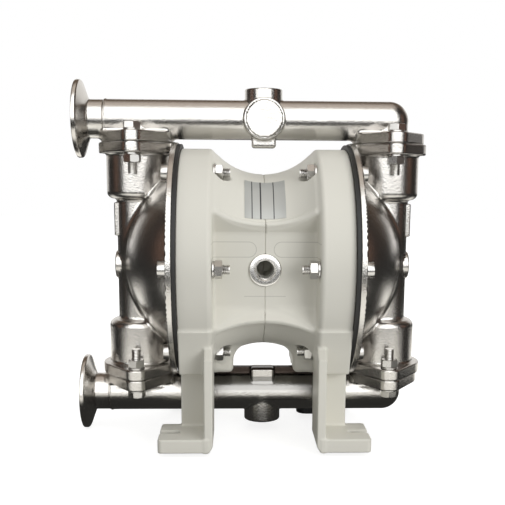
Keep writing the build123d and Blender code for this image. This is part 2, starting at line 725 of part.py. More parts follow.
def silencer():
    """Flat moulded exhaust silencer with slots on its outer sides."""
    width = 2 * silencer_half_width
    depth = silencer_back_y - silencer_front_y
    middle_y = (silencer_back_y + silencer_front_y) / 2
    outline = RectangleRounded(width, depth, silencer_corner)
    body = Pos(silencer_x, middle_y, silencer_bottom) * extrude(outline, silencer_top - silencer_bottom)
    hollow = RectangleRounded(width - 2 * silencer_wall, depth - 2 * silencer_wall, silencer_corner - silencer_wall)
    body -= Pos(silencer_x, middle_y, silencer_bottom + silencer_wall) * extrude(
        hollow, silencer_top - silencer_bottom - 2 * silencer_wall)
    body += rod_z(silencer_neck_radius - thread_gap, silencer_top - silencer_wall,
                  silencer_top + silencer_neck_length, exhaust_drop_x, exhaust_drop_y)
    body -= rod_z(silencer_neck_bore, silencer_top - 2 * silencer_wall,
                  silencer_top + silencer_neck_length + over, exhaust_drop_x, exhaust_drop_y)
    pitch = (silencer_top - silencer_bottom - 2 * silencer_wall) / (silencer_slots + 1)
    for i in range(silencer_slots):
        z = silencer_bottom + silencer_wall + (i + 1) * pitch
        body -= slab(silencer_x + silencer_half_width / 2, silencer_x + silencer_half_width + over,
                     middle_y - depth / 4, middle_y + depth / 4, z - silencer_slot / 2, z + silencer_slot / 2)
    return body


# ---- fasteners ----------------------------------------------------------------------
def rim_screw(y, z):
    """Socket cap screw from the chamber rim through the housing flange."""
    end = nut_face_x - nut_height - stud_end
    screw = rod_x(screw_radius, end, rim_outer_x, y, z)
    screw += rod_x(cap_head_radius, rim_outer_x, rim_outer_x + cap_head_height, y, z)
    socket = Pos(rim_outer_x + cap_head_height, y, z) * hex_bar(cap_socket, 2 * cap_socket_depth, 90)
    return screw - socket


def rim_nut(y, z):
    nut = Pos(nut_face_x - nut_height / 2, y, z) * hex_bar(nut_flats, nut_height, 90)
    return nut - rod_x(screw_radius, nut_face_x - nut_height - over, nut_face_x + over, y, z)


def rim_washer(y, z):
    washer = rod_x(washer_radius, nut_face_x, saddle_half_width, y, z)
    return washer - rod_x(screw_radius + hole_gap, nut_face_x - over, saddle_half_width + over, y, z)


def flange_places():
    return [(sx * column_x, sy * lug_y) for sx, sy in corners]


def flange_bolt(up, x, y):
    """Hex bolt through a manifold lug and a chamber lug, head on the manifold."""
    top = flange_plane + flange_thickness + washer_thickness
    end = flange_plane - flange_thickness - washer_thickness - nut_height - flange_stud_end
    bolt = rod_z(screw_radius, up * end, up * top, x, y)
    return bolt + Pos(x, y, up * (top + hex_head_height / 2)) * hex_bar(nut_flats, hex_head_height, 0)


def flange_nut(up, x, y):
    top = flange_plane - flange_thickness - washer_thickness
    nut = Pos(x, y, up * (top - nut_height / 2)) * hex_bar(nut_flats, nut_height, 0)
    return nut - rod_z(screw_radius, up * (top + over), up * (top - nut_height - over), x, y)


def flange_washer(up, x, y, near):
    washer = rod_z(washer_radius, up * near, up * (near + washer_thickness), x, y)
    return washer - rod_z(screw_radius + hole_gap, up * (near - over), up * (near + washer_thickness + over), x, y)


def flange_washers(up):
    above = flange_plane + flange_thickness
    below = flange_plane - flange_thickness - washer_thickness
    return group([flange_washer(up, x, y, near) for x, y in flange_places() for near in (above, below)])


def tie_bolt(y, z):
    """Bolt that holds the two housing halves together, sunk in the air cavity floors."""
    seat = cavity_floor_x - tie_head_height
    bolt = rod_x(tie_bolt_radius, -cavity_floor_x + tie_pocket_gap, seat, y, z)
    return bolt + rod_x(tie_head_radius, seat, cavity_floor_x, y, z)


def tie_nut(y, z):
    seat = cavity_floor_x - tie_head_height
    nut = Pos(-seat - tie_nut_height() / 2, y, z) * hex_bar(tie_nut_flats, tie_nut_height(), 90)
    return nut - rod_x(tie_bolt_radius, -cavity_floor_x - over, -seat + over, y, z)


def tie_nut_height():
    return tie_head_height - tie_pocket_gap


def valve_screw_piece(sx, sz):
    x, z = sx * valve_screw[0], sz * valve_screw[1]
    screw = rod_y(valve_screw_radius, rear_seat_y - valve_screw_grip, valve_block_y, x, z)
    return screw + rod_y(valve_head_radius, valve_block_y, valve_block_y + valve_head_height, x, z)


def cap_screw_piece(side, y, z):
    outside = valve_block_half_length + spool_cap_depth
    screw = rod_x(cap_screw_radius, side * (valve_block_half_length - cap_screw_grip), side * outside, y, z)
    return screw + rod_x(cap_screw_head, side * outside, side * (outside + cap_screw_head_height), y, z)


# ---- label --------------------------------------------------------------------------
def rating_plate():
    """Thin bare label that follows the saddle on the upper front."""
    arc = saddle_arc_radius
    raised = arc - plate_thickness
    edge = saddle_centre - math.sqrt(arc**2 - plate_half_width**2)
    raised_edge = saddle_centre - math.sqrt(raised**2 - plate_half_width**2)
    low = ThreePointArc((-plate_half_width, edge, 0), (0, waist_radius, 0), (plate_half_width, edge, 0))
    high = ThreePointArc((-plate_half_width, raised_edge, 0), (0, waist_radius + plate_thickness, 0),
                         (plate_half_width, raised_edge, 0))
    ends = [Line((s * plate_half_width, edge, 0), (s * plate_half_width, raised_edge, 0)) for s in (-1, 1)]
    face = make_face(low + high + ends[0] + ends[1])
    start = Rot(180 - plate_low_angle, 0, 0) * face
    return revolve(start, Axis.X, -(plate_high_angle - plate_low_angle))


nodes = {
    "left_housing": left_housing,
    "right_housing": right_housing,
    "left_chamber": left_chamber,
    "right_chamber": right_chamber,
    "top_manifold": manifold(1),
    "bottom_manifold": manifold(-1),
    "top_ferrule": ferrule(1),
    "bottom_ferrule": ferrule(-1),
    "top_port_seals": port_seals(1),
    "bottom_port_seals": port_seals(-1),
    "main_shaft": shaft(),
    "shaft_bushings": group([shaft_bushing(), other_side(shaft_bushing())]),
    "shaft_seals": group([shaft_seal(), other_side(shaft_seal())]),
    "pilot_rod": rod_x(pilot_radius, -pilot_half_length, pilot_half_length, 0, pilot_height),
    "pilot_bushings": group([pilot_bushing(), other_side(pilot_bushing())]),
    "air_valve_body": air_valve_body(),
    "air_valve_gasket": valve_gasket(),
    "air_valve_spool": valve_spool(),
    "air_valve_screws": group([valve_screw_piece(sx, sz) for sx, sz in corners]),
    "air_inlet_bushing": inlet_bushing(),
    "exhaust_silencer": silencer(),
    "rating_plate": rating_plate(),
    "tie_bolts": group([tie_bolt(y, z) for y, z in tie_places]),
    "tie_nuts": group([tie_nut(y, z) for y, z in tie_places]),
}
for up, level in ((1, "top"), (-1, "bottom")):
    nodes[level + "_flange_bolts"] = group([flange_bolt(up, x, y) for x, y in flange_places()])
    nodes[level + "_flange_nuts"] = group([flange_nut(up, x, y) for x, y in flange_places()])
    nodes[level + "_flange_washers"] = flange_washers(up)

right_pieces = {
    "inlet_seat": right_inlet_seat,
    "outlet_seat": right_outlet_seat,
    "inlet_ball": right_inlet_ball,
    "outlet_ball": right_outlet_ball,
    "diaphragm": diaphragm(),
    "inner_plate": inner_plate(),
    "outer_plate": outer_plate(),
    "valve_cap": valve_cap(),
    "valve_cap_screws": group([cap_screw_piece(1, y, z) for y, z in cap_screw_places()]),
    "rim_screws": group([rim_screw(y, z) for y, z in rim_places]),
    "rim_nuts": group([rim_nut(y, z) for y, z in rim_places]),
    "rim_washers": group([rim_washer(y, z) for y, z in rim_places]),
}
for name, piece in right_pieces.items():
    nodes["right_" + name] = piece
    nodes["left_" + name] = group([other_side(solid) for solid in piece.solids()])

os.makedirs("parts", exist_ok=True)
for name, piece in nodes.items():
    standing = group([Pos(0, 0, shaft_height) * solid for solid in piece.solids()])
    export_step(standing, os.path.join("parts", name + ".step"))
print(len(nodes), "nodes")
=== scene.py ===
import json
import math

import bpy
import numpy as np
from mathutils import Matrix, Vector


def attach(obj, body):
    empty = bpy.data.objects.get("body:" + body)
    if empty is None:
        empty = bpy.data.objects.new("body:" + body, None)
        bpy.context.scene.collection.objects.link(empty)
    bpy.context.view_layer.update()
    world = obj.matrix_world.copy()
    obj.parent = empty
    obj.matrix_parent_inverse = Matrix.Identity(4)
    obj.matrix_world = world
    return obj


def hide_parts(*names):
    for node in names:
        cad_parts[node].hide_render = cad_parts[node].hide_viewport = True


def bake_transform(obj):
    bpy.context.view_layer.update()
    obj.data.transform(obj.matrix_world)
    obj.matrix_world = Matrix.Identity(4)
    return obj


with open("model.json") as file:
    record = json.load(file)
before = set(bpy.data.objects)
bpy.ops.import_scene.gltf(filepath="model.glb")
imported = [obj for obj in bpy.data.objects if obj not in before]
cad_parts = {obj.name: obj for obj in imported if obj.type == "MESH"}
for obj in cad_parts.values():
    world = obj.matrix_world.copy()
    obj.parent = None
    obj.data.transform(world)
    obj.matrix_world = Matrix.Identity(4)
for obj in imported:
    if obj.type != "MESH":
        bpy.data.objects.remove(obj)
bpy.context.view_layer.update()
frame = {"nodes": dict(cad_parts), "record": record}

# Lengths below are millimetres from the shaft axis, as in a drawing of the pump: X along the shaft,
# the pump faces -Y, Z up. Pieces are placed in metres, with the floor at height 0.
MM = 0.001
SHAFT_HEIGHT = 115.0
COLUMN_X = 83.8
PIPE_Z = 92.3
JOINT_Z = 77.0
LUG_Y = 28.0
FLANGE_IN, FLANGE_OUT = 32.5, 54.1
RIM_IN, RIM_OUT = 56.4, 59.3
SCREW_CIRCLE = 66.5
CELL = 0.85
WIDE_CELL = CELL * 1.18         # for the four largest castings
BLOCK = 8


# ---- fields: distance to a surface, below 0 inside ----------------------------------
def join(a, b, fillet):
    """Union of two fields with a round fillet between them."""
    return np.maximum(fillet, np.minimum(a, b)) - np.hypot(np.maximum(fillet - a, 0), np.maximum(fillet - b, 0))


def keep(a, b, edge):
    """What two fields have in common, with a rounded edge."""
    return np.minimum(-edge, np.maximum(a, b)) + np.hypot(np.maximum(edge + a, 0), np.maximum(edge + b, 0))


def cut(a, b, edge):
    return keep(a, -b, edge)


def bar(across, along, radius, low, high, edge=0.0):
    """Round bar, from the distance to its axis and the station along it."""
    side, ends = across - radius, np.maximum(low - along, along - high)
    return keep(side, ends, edge) if edge else np.maximum(side, ends)


def block(x, y, z, spans, edge):
    """Box with all its edges rounded."""
    q = [np.maximum(low - v, v - high) + edge for v, (low, high) in zip((x, y, z), spans)]
    outside = np.sqrt(sum(np.maximum(v, 0) ** 2 for v in q))
    return outside + np.minimum(np.maximum(q[0], np.maximum(q[1], q[2])), 0) - edge


def half_plane(u, v, start, end):
    """Signed distance to the line from start to end, above 0 on its left."""
    run = math.hypot(end[0] - start[0], end[1] - start[1])
    return ((end[0] - start[0]) * (v - start[1]) - (end[1] - start[1]) * (u - start[0])) / run


def lobed(x, y, big, small, reach):
    """Plan of an oval flange: a disc with a smaller lug in front and behind."""
    slope = (big - small) / reach
    side = math.sqrt(1 - slope**2)
    across, along = np.abs(x), np.abs(y)
    k = -slope * across + side * along
    straight = side * across + slope * along - big
    field = np.where(k < 0, np.hypot(across, along) - big, straight)
    return np.where(k > side * reach, np.hypot(across, along - reach) - small, field)


def plate(outline, along, low, high, edge):
    return keep(outline, np.maximum(low - along, along - high), edge)


def surface(field, low, high, cell):
    """Points, quads and normals of the surface where a field is 0."""
    low = np.array(low, float)
    blocks = np.ceil((np.array(high, float) - low) / (cell * BLOCK)).astype(int)
    base = np.indices(blocks).reshape(3, -1).T
    rough = field(*(low + (base + 0.5) * cell * BLOCK).T)
    sign = np.where(rough < 0, -1.0, 1.0).astype(np.float32).reshape(blocks)
    value = np.full(blocks * BLOCK + 1, 1.0, np.float32)
    value[:-1, :-1, :-1] = sign.repeat(BLOCK, 0).repeat(BLOCK, 1).repeat(BLOCK, 2)
    near = base[np.abs(rough) < cell * BLOCK * 0.9]
    offsets = np.indices((BLOCK + 1,) * 3).reshape(3, -1).T
    for first in range(0, len(near), 600):
        node = (near[first:first + 600, None, :] * BLOCK + offsets[None]).reshape(-1, 3)
        value[node[:, 0], node[:, 1], node[:, 2]] = field(*(low + node * cell).T)
    solid = value < 0
    nx, ny, nz = (n - 1 for n in value.shape)
    corners = [np.array(c) for c in np.ndindex(2, 2, 2)]
    total = sum(solid[i:nx + i, j:ny + j, k:nz + k].astype(np.int8) for i, j, k in corners)
    active = (total > 0) & (total < 8)
    cells = np.argwhere(active)
    number = np.full(active.shape, -1)
    number[active] = np.arange(len(cells))
    place, hits = np.zeros((len(cells), 3)), np.zeros((len(cells), 1))
    for a in corners:
        for axis in range(3):
            if a[axis]:
                continue
            b = a.copy()
            b[axis] = 1
            va, vb = (value[tuple((cells + c).T)] for c in (a, b))
            cross = (va < 0) != (vb < 0)
            share = (va[cross] / (va[cross] - vb[cross]))[:, None]
            place[cross] += a + share * (b - a)
            hits[cross] += 1
    points = low + (cells + place / hits) * cell
    quads = []
    for d in range(3):
        e, f = (d + 1) % 3, (d + 2) % 3
        step = [np.eye(3, dtype=int)[i] for i in (d, e, f)]
        one, two = [slice(1, -1)] * 3, [slice(1, -1)] * 3
        two[d] = slice(2, None)
        change = solid[tuple(one)] != solid[tuple(two)]
        node = np.argwhere(change) + 1
        ring = [node - step[1] - step[2], node - step[2], node, node - step[1]]
        quad = np.stack([number[tuple(r.T)] for r in ring], 1)
        out = solid[tuple(node.T)]
        quads += [quad[out], quad[~out][:, ::-1]]
    quads = np.concatenate(quads)
    for _ in range(4):
        normal = slopes(field, points)
        size = np.maximum((normal**2).sum(1), 0.3)
        move = np.clip(field(*points.T) / size, -cell * 0.5, cell * 0.5)
        points -= move[:, None] * normal
    normal = slopes(field, points)
    return points, quads, normal / np.maximum(np.linalg.norm(normal, axis=1), 1e-6)[:, None]


def slopes(field, points, step=0.04):
    grid = np.eye(3) * step
    return np.stack([(field(*(points + g).T) - field(*(points - g).T)) / (2 * step) for g in grid], 1)


# ---- meshes -------------------------------------------------------------------------
def to_row(points):
    return np.asarray(points, float) * MM + (0, 0, SHAFT_HEIGHT * MM)


def mesh_object(name, points, faces, normals=None, sharp=None):
    """Object from millimetre points; normals, or the angle in degrees above which an edge stays sharp."""
    mesh = bpy.data.meshes.new(name)
    mesh.from_pydata(to_row(points).tolist(), [], faces.tolist() if hasattr(faces, "tolist") else faces)
    mesh.validate()
    mesh.shade_smooth()
    if normals is not None:
        mesh.normals_split_custom_set_from_vertices(normals.tolist())
    elif sharp:
        mesh.set_sharp_from_angle(angle=math.radians(sharp))
    piece = bpy.data.objects.new(name, mesh)
    bpy.context.scene.collection.objects.link(piece)
    return piece


def turned(stations, count=72, loop=False):
    """Points and faces about local Z. A station is (height, radius), the radius one number or one per angle."""
    angle = np.arange(count) * 2 * math.pi / count
    rings = []
    for height, radius in stations:
        radius, height = np.broadcast_to(radius, count), np.broadcast_to(height, count)
        rings.append(np.stack([radius * np.cos(angle), radius * np.sin(angle), height], 1))
    points = np.concatenate(rings)
    faces = []
    last = len(stations) if loop else len(stations) - 1
    for k in range(last):
        a, b = k * count, (k + 1) % len(stations) * count
        faces += [(a + i, a + (i + 1) % count, b + (i + 1) % count, b + i) for i in range(count)]
    if not loop:
        faces += [tuple(range(count))[::-1], tuple((len(stations) - 1) * count + i for i in range(count))]
    return points, faces


def hexagon(flats, count=72):
    """Radius of a hexagon at each angle."""
    angle = np.arange(count) * 2 * math.pi / count
    return flats / 2 / np.cos((angle + math.pi / 6) % (math.pi / 3) - math.pi / 6)


def stack(*parts):
    """Several (points, faces) as one."""
    points, faces, start = [], [], 0
    for p, f in parts:
        points.append(p)
        faces += [tuple(start + i for i in face) for face in f]
        start += len(p)
    return np.concatenate(points), faces


def hex_solid(flats, height, chamfer, hole=0.0, both=False, count=72):
    """Hexagon head or nut with turned corners, from 0 up to height."""
    corner = hexagon(flats, count)
    steps = np.linspace(0, 1, 6)
    top = [(height - chamfer * (1 - s), np.minimum(corner, flats / 2 * 0.96 + (1 - s) * chamfer * 1.9)) for s in steps]
    low = [(chamfer * s, np.minimum(corner, flats / 2 * 0.96 + s * chamfer * 1.9)) for s in steps]
    outside = (low if both else [(0, corner)]) + top
    if not hole:
        return turned(outside, count)
    inside = [(height, hole + 0.5), (height - 0.5, hole), (0.5, hole), (0, hole + 0.5)]
    return turned(outside + inside, count, loop=True)


def thread(radius, low, high, pitch, depth, count=36, inward=False):
    """Rod, or with inward the wall of a hole, with a helical thread from low to high."""
    steps = max(int((high - low) / pitch * 8), 4)
    turn = np.arange(count) / count
    stations = []
    for height in np.linspace(low, high, steps):
        phase = (height / pitch - turn) % 1.0
        wave = 1 - np.abs(2 * phase - 1)
        taper = min(1.0, (height - low) / pitch + 0.05, (high - height) / pitch + 0.05)
        bite = depth * wave * taper + depth * (1 - taper) * 0.5
        stations.append((height, radius - bite if not inward else radius + bite - depth))
    return stations


def washer(outer, inner, height):
    c = 0.2
    return turned([(0, inner), (0, outer - c), (c, outer), (height - c, outer), (height, outer - c), (height, inner)],
                  48, loop=True)


def cap_head(radius, height, flats, depth):
    """Head of a socket screw, seat at 0."""
    n = 72
    edge = [(0, radius - 0.3), (0.3, radius), (height - 0.5, radius), (height - 0.15, radius - 0.15),
            (height, radius - 0.6)]
    hole = hexagon(flats, n)
    return turned(edge + [(height, hole + 0.35), (height - 0.35, hole), (height - depth, hole), (height - depth - 1.2, 0.05)], n)


def axes_to(direction, spin=0.0):
    return Vector(direction).to_track_quat("Z", "Y").to_matrix() @ Matrix.Rotation(spin, 3, "Z")


def repeat_group():
    """Node group that sets one part at every point, each with its own turn."""
    tree = bpy.data.node_groups.new("set_in_place", "GeometryNodeTree")
    face = tree.interface
    face.new_socket("Places", in_out="INPUT", socket_type="NodeSocketGeometry")
    face.new_socket("Part", in_out="INPUT", socket_type="NodeSocketObject")
    face.new_socket("Finish", in_out="INPUT", socket_type="NodeSocketMaterial")
    face.new_socket("Pieces", in_out="OUTPUT", socket_type="NodeSocketGeometry")
    start, end = tree.nodes.new("NodeGroupInput"), tree.nodes.new("NodeGroupOutput")
    info, turn = tree.nodes.new("GeometryNodeObjectInfo"), tree.nodes.new("GeometryNodeInputNamedAttribute")
    turn.data_type = "FLOAT_VECTOR"
    turn.inputs["Name"].default_value = "turn"
    place = tree.nodes.new("GeometryNodeInstanceOnPoints")
    real, paint = tree.nodes.new("GeometryNodeRealizeInstances"), tree.nodes.new("GeometryNodeSetMaterial")
    link = tree.links.new
    link(start.outputs["Places"], place.inputs["Points"])
    link(start.outputs["Part"], info.inputs["Object"])
    link(info.outputs["Geometry"], place.inputs["Instance"])
    link(turn.outputs["Attribute"], place.inputs["Rotation"])
    link(place.outputs["Instances"], real.inputs["Geometry"])
    link(real.outputs["Geometry"], paint.inputs["Geometry"])
    link(start.outputs["Finish"], paint.inputs["Material"])
    link(paint.outputs["Geometry"], end.inputs["Pieces"])
    return tree


def repeated(name, shape, places, finish):
    """One object with a copy of shape at each (point, direction, spin)."""
    points, faces = shape
    part = mesh_object(name + "_part", points, faces, sharp=32)
    part.data.transform(Matrix.Translation((0, 0, -SHAFT_HEIGHT * MM)))
    host_mesh = bpy.data.meshes.new(name + "_places")
    host_mesh.from_pydata(to_row([p for p, _, _ in places]).tolist(), [], [])
    turn = host_mesh.attributes.new("turn", "FLOAT_VECTOR", "POINT")
    angles = [axes_to(d, s).to_euler() for _, d, s in places]
    turn.data.foreach_set("vector", [v for e in angles for v in e])
    host = bpy.data.objects.new(name + "_places", host_mesh)
    bpy.context.scene.collection.objects.link(host)
    change = host.modifiers.new("set_in_place", "NODES")
    change.node_group = SET_IN_PLACE
    for item in SET_IN_PLACE.interface.items_tree:
        if item.name == "Part":
            change[item.identifier] = part
        elif item.name == "Finish":
            change[item.identifier] = MATERIALS[finish]
    bpy.context.view_layer.update()
    made = bpy.data.meshes.new_from_object(host.evaluated_get(bpy.context.evaluated_depsgraph_get()))
    made.name = name
    piece = bpy.data.objects.new(name, made)
    bpy.context.scene.collection.objects.link(piece)
    for old in (host, part):
        bpy.data.objects.remove(old)
    return piece


def dress(piece, finish, body, *nodes, paint=True):
    """Finish, material slot, body and replaced solids of one piece."""
    if paint:
        piece.data.materials.clear()
        piece.data.materials.append(MATERIALS[finish])
    if body:
        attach(piece, body)
    if nodes:
        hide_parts(*nodes)
    return piece


# ---- finishes -----------------------------------------------------------------------
class Value:
    """A number in a node tree, with ordinary arithmetic."""

    def __init__(self, tree, socket):
        self.tree, self.socket = tree, socket

    def run(self, operation, *others, clamp=False):
        node = self.tree.nodes.new("ShaderNodeMath")
        node.operation, node.use_clamp = operation, clamp
        for slot, item in zip(node.inputs, (self, *others)):
            if isinstance(item, Value):
                self.tree.links.new(item.socket, slot)
            else:
                slot.default_value = item
        return Value(self.tree, node.outputs[0])

    def __add__(self, other): return self.run("ADD", other)
    def __sub__(self, other): return self.run("SUBTRACT", other)
    def __mul__(self, other): return self.run("MULTIPLY", other)
    def __truediv__(self, other): return self.run("DIVIDE", other)
    def __lt__(self, other): return self.run("LESS_THAN", other)
    def __gt__(self, other): return self.run("GREATER_THAN", other)
    def abs(self): return self.run("ABSOLUTE")
    def low(self, other): return self.run("MINIMUM", other)
    def high(self, other): return self.run("MAXIMUM", other)
    def length(self, other): return (self * self + other * other).run("SQRT")
    def ramp(self, start, end): return ((self - start) / (end - start)).run("ADD", 0.0, clamp=True)


class Finish:
    """Principled material with helpers for what varies over the surface."""

    def __init__(self, name, colour, roughness, metallic=0.0, coat=0.0, specular=0.5):
        self.material = bpy.data.materials.new(name)
        self.material.use_nodes = True
        self.tree = self.material.node_tree
        self.shader = self.tree.nodes["Principled BSDF"]
        self.colour = colour
        self.shader.inputs["Base Color"].default_value = (*colour, 1)
        self.shader.inputs["Roughness"].default_value = roughness
        self.shader.inputs["Metallic"].default_value = metallic
        self.shader.inputs["Coat Weight"].default_value = coat
        self.shader.inputs["Specular IOR Level"].default_value = specular
        self.place = self.tree.nodes.new("ShaderNodeTexCoord").outputs["Object"]
        parts = self.tree.nodes.new("ShaderNodeSeparateXYZ")
        self.tree.links.new(self.place, parts.inputs[0])
        self.x, self.y, self.z = (Value(self.tree, s) for s in parts.outputs)

    def noise(self, scale, detail=3.0, rough=0.55, stretch=(1, 1, 1)):
        """Noise from 0 to 1, scale in features for each millimetre."""
        node, spread = self.tree.nodes.new("ShaderNodeTexNoise"), self.tree.nodes.new("ShaderNodeMapping")
        spread.inputs["Scale"].default_value = stretch
        self.tree.links.new(self.place, spread.inputs["Vector"])
        self.tree.links.new(spread.outputs[0], node.inputs["Vector"])
        node.inputs["Scale"].default_value = scale / MM
        node.inputs["Detail"].default_value = detail
        node.inputs["Roughness"].default_value = rough
        return Value(self.tree, node.outputs["Fac"])

    def tint(self, mask, colour):
        """Mixes another colour in where the mask is 1."""
        mix = self.tree.nodes.new("ShaderNodeMix")
        mix.data_type = "RGBA"
        socket = self.shader.inputs["Base Color"]
        a = [s for s in mix.inputs if s.name == "A" and s.type == "RGBA"][0]
        b = [s for s in mix.inputs if s.name == "B" and s.type == "RGBA"][0]
        if socket.is_linked:
            self.tree.links.new(socket.links[0].from_socket, a)
        else:
            a.default_value = (*self.colour, 1)
        b.default_value = (*colour, 1)
        self.tree.links.new(mask.socket, mix.inputs["Factor"])
        self.tree.links.new([s for s in mix.outputs if s.type == "RGBA"][0], socket)

    def roughness(self, value):
        self.tree.links.new(value.socket, self.shader.inputs["Roughness"])

    def bump(self, height, strength, depth):
        """Height from 0 to 1 stands for depth millimetres."""
        node = self.tree.nodes.new("ShaderNodeBump")
        node.inputs["Strength"].default_value = strength
        node.inputs["Distance"].default_value = depth * MM
        self.tree.links.new(height.socket, node.inputs["Height"])
        before = self.shader.inputs["Normal"]
        if before.is_linked:
            self.tree.links.new(before.links[0].from_socket, node.inputs["Normal"])
        self.tree.links.new(node.outputs[0], before)


MATERIALS = {}


def metal(name, colour, roughness, grain=0.0, scale=1.2, vary=0.06, dark=None):
    finish = Finish(name, colour, roughness, metallic=1.0)
    cloud = finish.noise(0.06, 4)
    finish.roughness(cloud * vary * 2 + (roughness - vary))
    if dark:
        finish.tint(cloud.ramp(0.35, 0.75) * 0.5, dark)
    if grain:
        finish.bump(finish.noise(scale, 2), grain, 0.12)
    MATERIALS[name] = finish.material
    return finish


def plain(name, colour, roughness, grain=0.0, scale=1.0, **more):
    finish = Finish(name, colour, roughness, **more)
    if grain:
        finish.bump(finish.noise(scale, 3), grain, 0.1)
    MATERIALS[name] = finish.material
    return finish


def make_finishes():
    cast = metal("cast_stainless", (0.64, 0.625, 0.60), 0.25, grain=0.9, scale=0.8, vary=0.05, dark=(0.50, 0.47, 0.44))
    # Painted shade: a near-black tint on the top of the cast rib above the lower pipe, for the shadowed underside that
    # it mirrors
    rib = (cast.x.abs() < 50.5 * MM) * (cast.y.abs() < 12.3 * MM) * cast.z.ramp(34.6 * MM, 35.6 * MM) * (cast.z < 42 * MM)
    rib = rib * (cast.y > -8.6 * MM).high(cast.z > 39.4 * MM)
    cast.tint(rib, (0.045, 0.035, 0.03))
    shaded = cast.z.ramp(23.0 * MM, 26.5 * MM) * (cast.z < 35 * MM) * (cast.x.abs() * -1).ramp(-62 * MM, -40 * MM)
    cast.tint(shaded * (cast.y.abs() < 13 * MM) * 0.7, (0.17, 0.17, 0.165))
    parting = ((cast.z - 19.2 * MM).abs() < 0.2 * MM) * ((cast.x - 15 * MM).abs() < 16 * MM) * (cast.y < 0)
    cast.tint(parting, (0.12, 0.12, 0.12))
    metal("ferrule_steel", (0.62, 0.60, 0.57), 0.22, vary=0.05)
    metal("screw_steel", (0.60, 0.59, 0.57), 0.28, grain=0.2)
    metal("shaft_steel", (0.66, 0.66, 0.66), 0.15)
    metal("plate_aluminium", (0.75, 0.75, 0.76), 0.35)
    metal("valve_aluminium", (0.62, 0.62, 0.63), 0.42, grain=0.5, scale=0.8)
    metal("seat_steel", (0.66, 0.66, 0.66), 0.25)
    metal("inlet_metal", (0.80, 0.79, 0.77), 0.24, grain=0.15)
    plain("seal_rubber", (0.012, 0.012, 0.012), 0.55, grain=0.2)
    plain("ball_rubber", (0.03, 0.03, 0.03), 0.5)
    plain("bearing_plastic", (0.06, 0.06, 0.065), 0.4)
    plain("silencer_plastic", (0.014, 0.014, 0.014), 0.45, grain=0.3)
    label = plain("label_silver", (0.50, 0.51, 0.49), 0.38, metallic=0.25)
    ruled = None
    for station, half in ((-8.2, 0.3), (-2.8, 0.45), (5.4, 0.3)):
        line = (label.x - station * MM).abs() < half * MM
        ruled = line if ruled is None else ruled.high(line)
    label.tint(ruled, (0.05, 0.05, 0.055))
    cream = plain("cream_plastic", (0.74, 0.725, 0.655), 0.42, grain=0.25, scale=0.5, specular=0.4)
    cloud = cream.noise(0.02, 3)
    cream.tint(cloud.ramp(0.4, 0.8) * 0.35, (0.69, 0.67, 0.595))
    end = (cream.x.abs() - 10.2 * MM).run("MULTIPLY", -1.0).high(0.0)
    outline = (end.length(cream.z - 125.8 * MM) - 4.7 * MM).abs() < 0.22 * MM
    score = ((cream.z - 96.6 * MM).abs() < 0.2 * MM) * (cream.x.abs() < 13 * MM)
    cream.tint(outline.high(score) * (cream.y < -49 * MM) * (cream.x.abs() < 33 * MM) * 0.45, (0.30, 0.29, 0.25))


# ---- cast and moulded shapes --------------------------------------------------------
def chamber_field(x, y, z):
    """Right liquid chamber: clamp rim, dome, valve column with its two cages and flanges."""
    out, up = np.hypot(y, z), np.abs(z)
    column = np.hypot(x - COLUMN_X, y)
    rim = bar(out, x, 77.5, RIM_IN, RIM_OUT, 0.6)
    lip = keep(np.abs(out - 76.0) - 1.5, np.maximum(RIM_IN + 0.6 - x, x - RIM_OUT - 0.8), 0.4)
    ball = np.maximum(np.hypot(x - 21.5, out) - 70.5, RIM_IN - x)
    solid = join(np.minimum(rim, lip), ball, 1.6)
    solid = join(solid, bar(column, up, 14.2, -1, JOINT_Z - 2), 3.0)
    cage = keep(column - 20.5, np.maximum(40.5 - up, up - JOINT_Z + 1), 4.5)
    solid = join(solid, cage, 2.2)
    flange = plate(lobed(x - COLUMN_X, y, 25.2, 8.0, LUG_Y), up, JOINT_Z - 7.0, JOINT_Z, 0.9)
    solid = join(solid, flange, 1.8)
    pad = block(x, y, z, ((80, 99.1), (-7.5, 7.5), (16, 38)), 0.6)
    solid = np.minimum(solid, pad)
    solid = np.minimum(solid, bar(np.hypot(y, z + 3.7), x, 9.2, 80, 99.1, 0.6))
    inside = np.maximum(np.hypot(x - 21.5, out) - 67.5, RIM_IN - 1 - x)
    inside = np.minimum(inside, bar(column, up, 10.2, -1, 80))
    inside = np.minimum(inside, bar(column, -z, 15.5, 45, 80))
    inside = np.minimum(inside, bar(column, z, 15.5, 51, 80))
    solid = np.maximum(solid, -inside)
    stop = np.minimum(np.abs(x - COLUMN_X), np.abs(y)) - 1.25
    return np.minimum(solid, np.maximum(np.maximum(stop, column - 18), np.abs(z + 49) - 2))


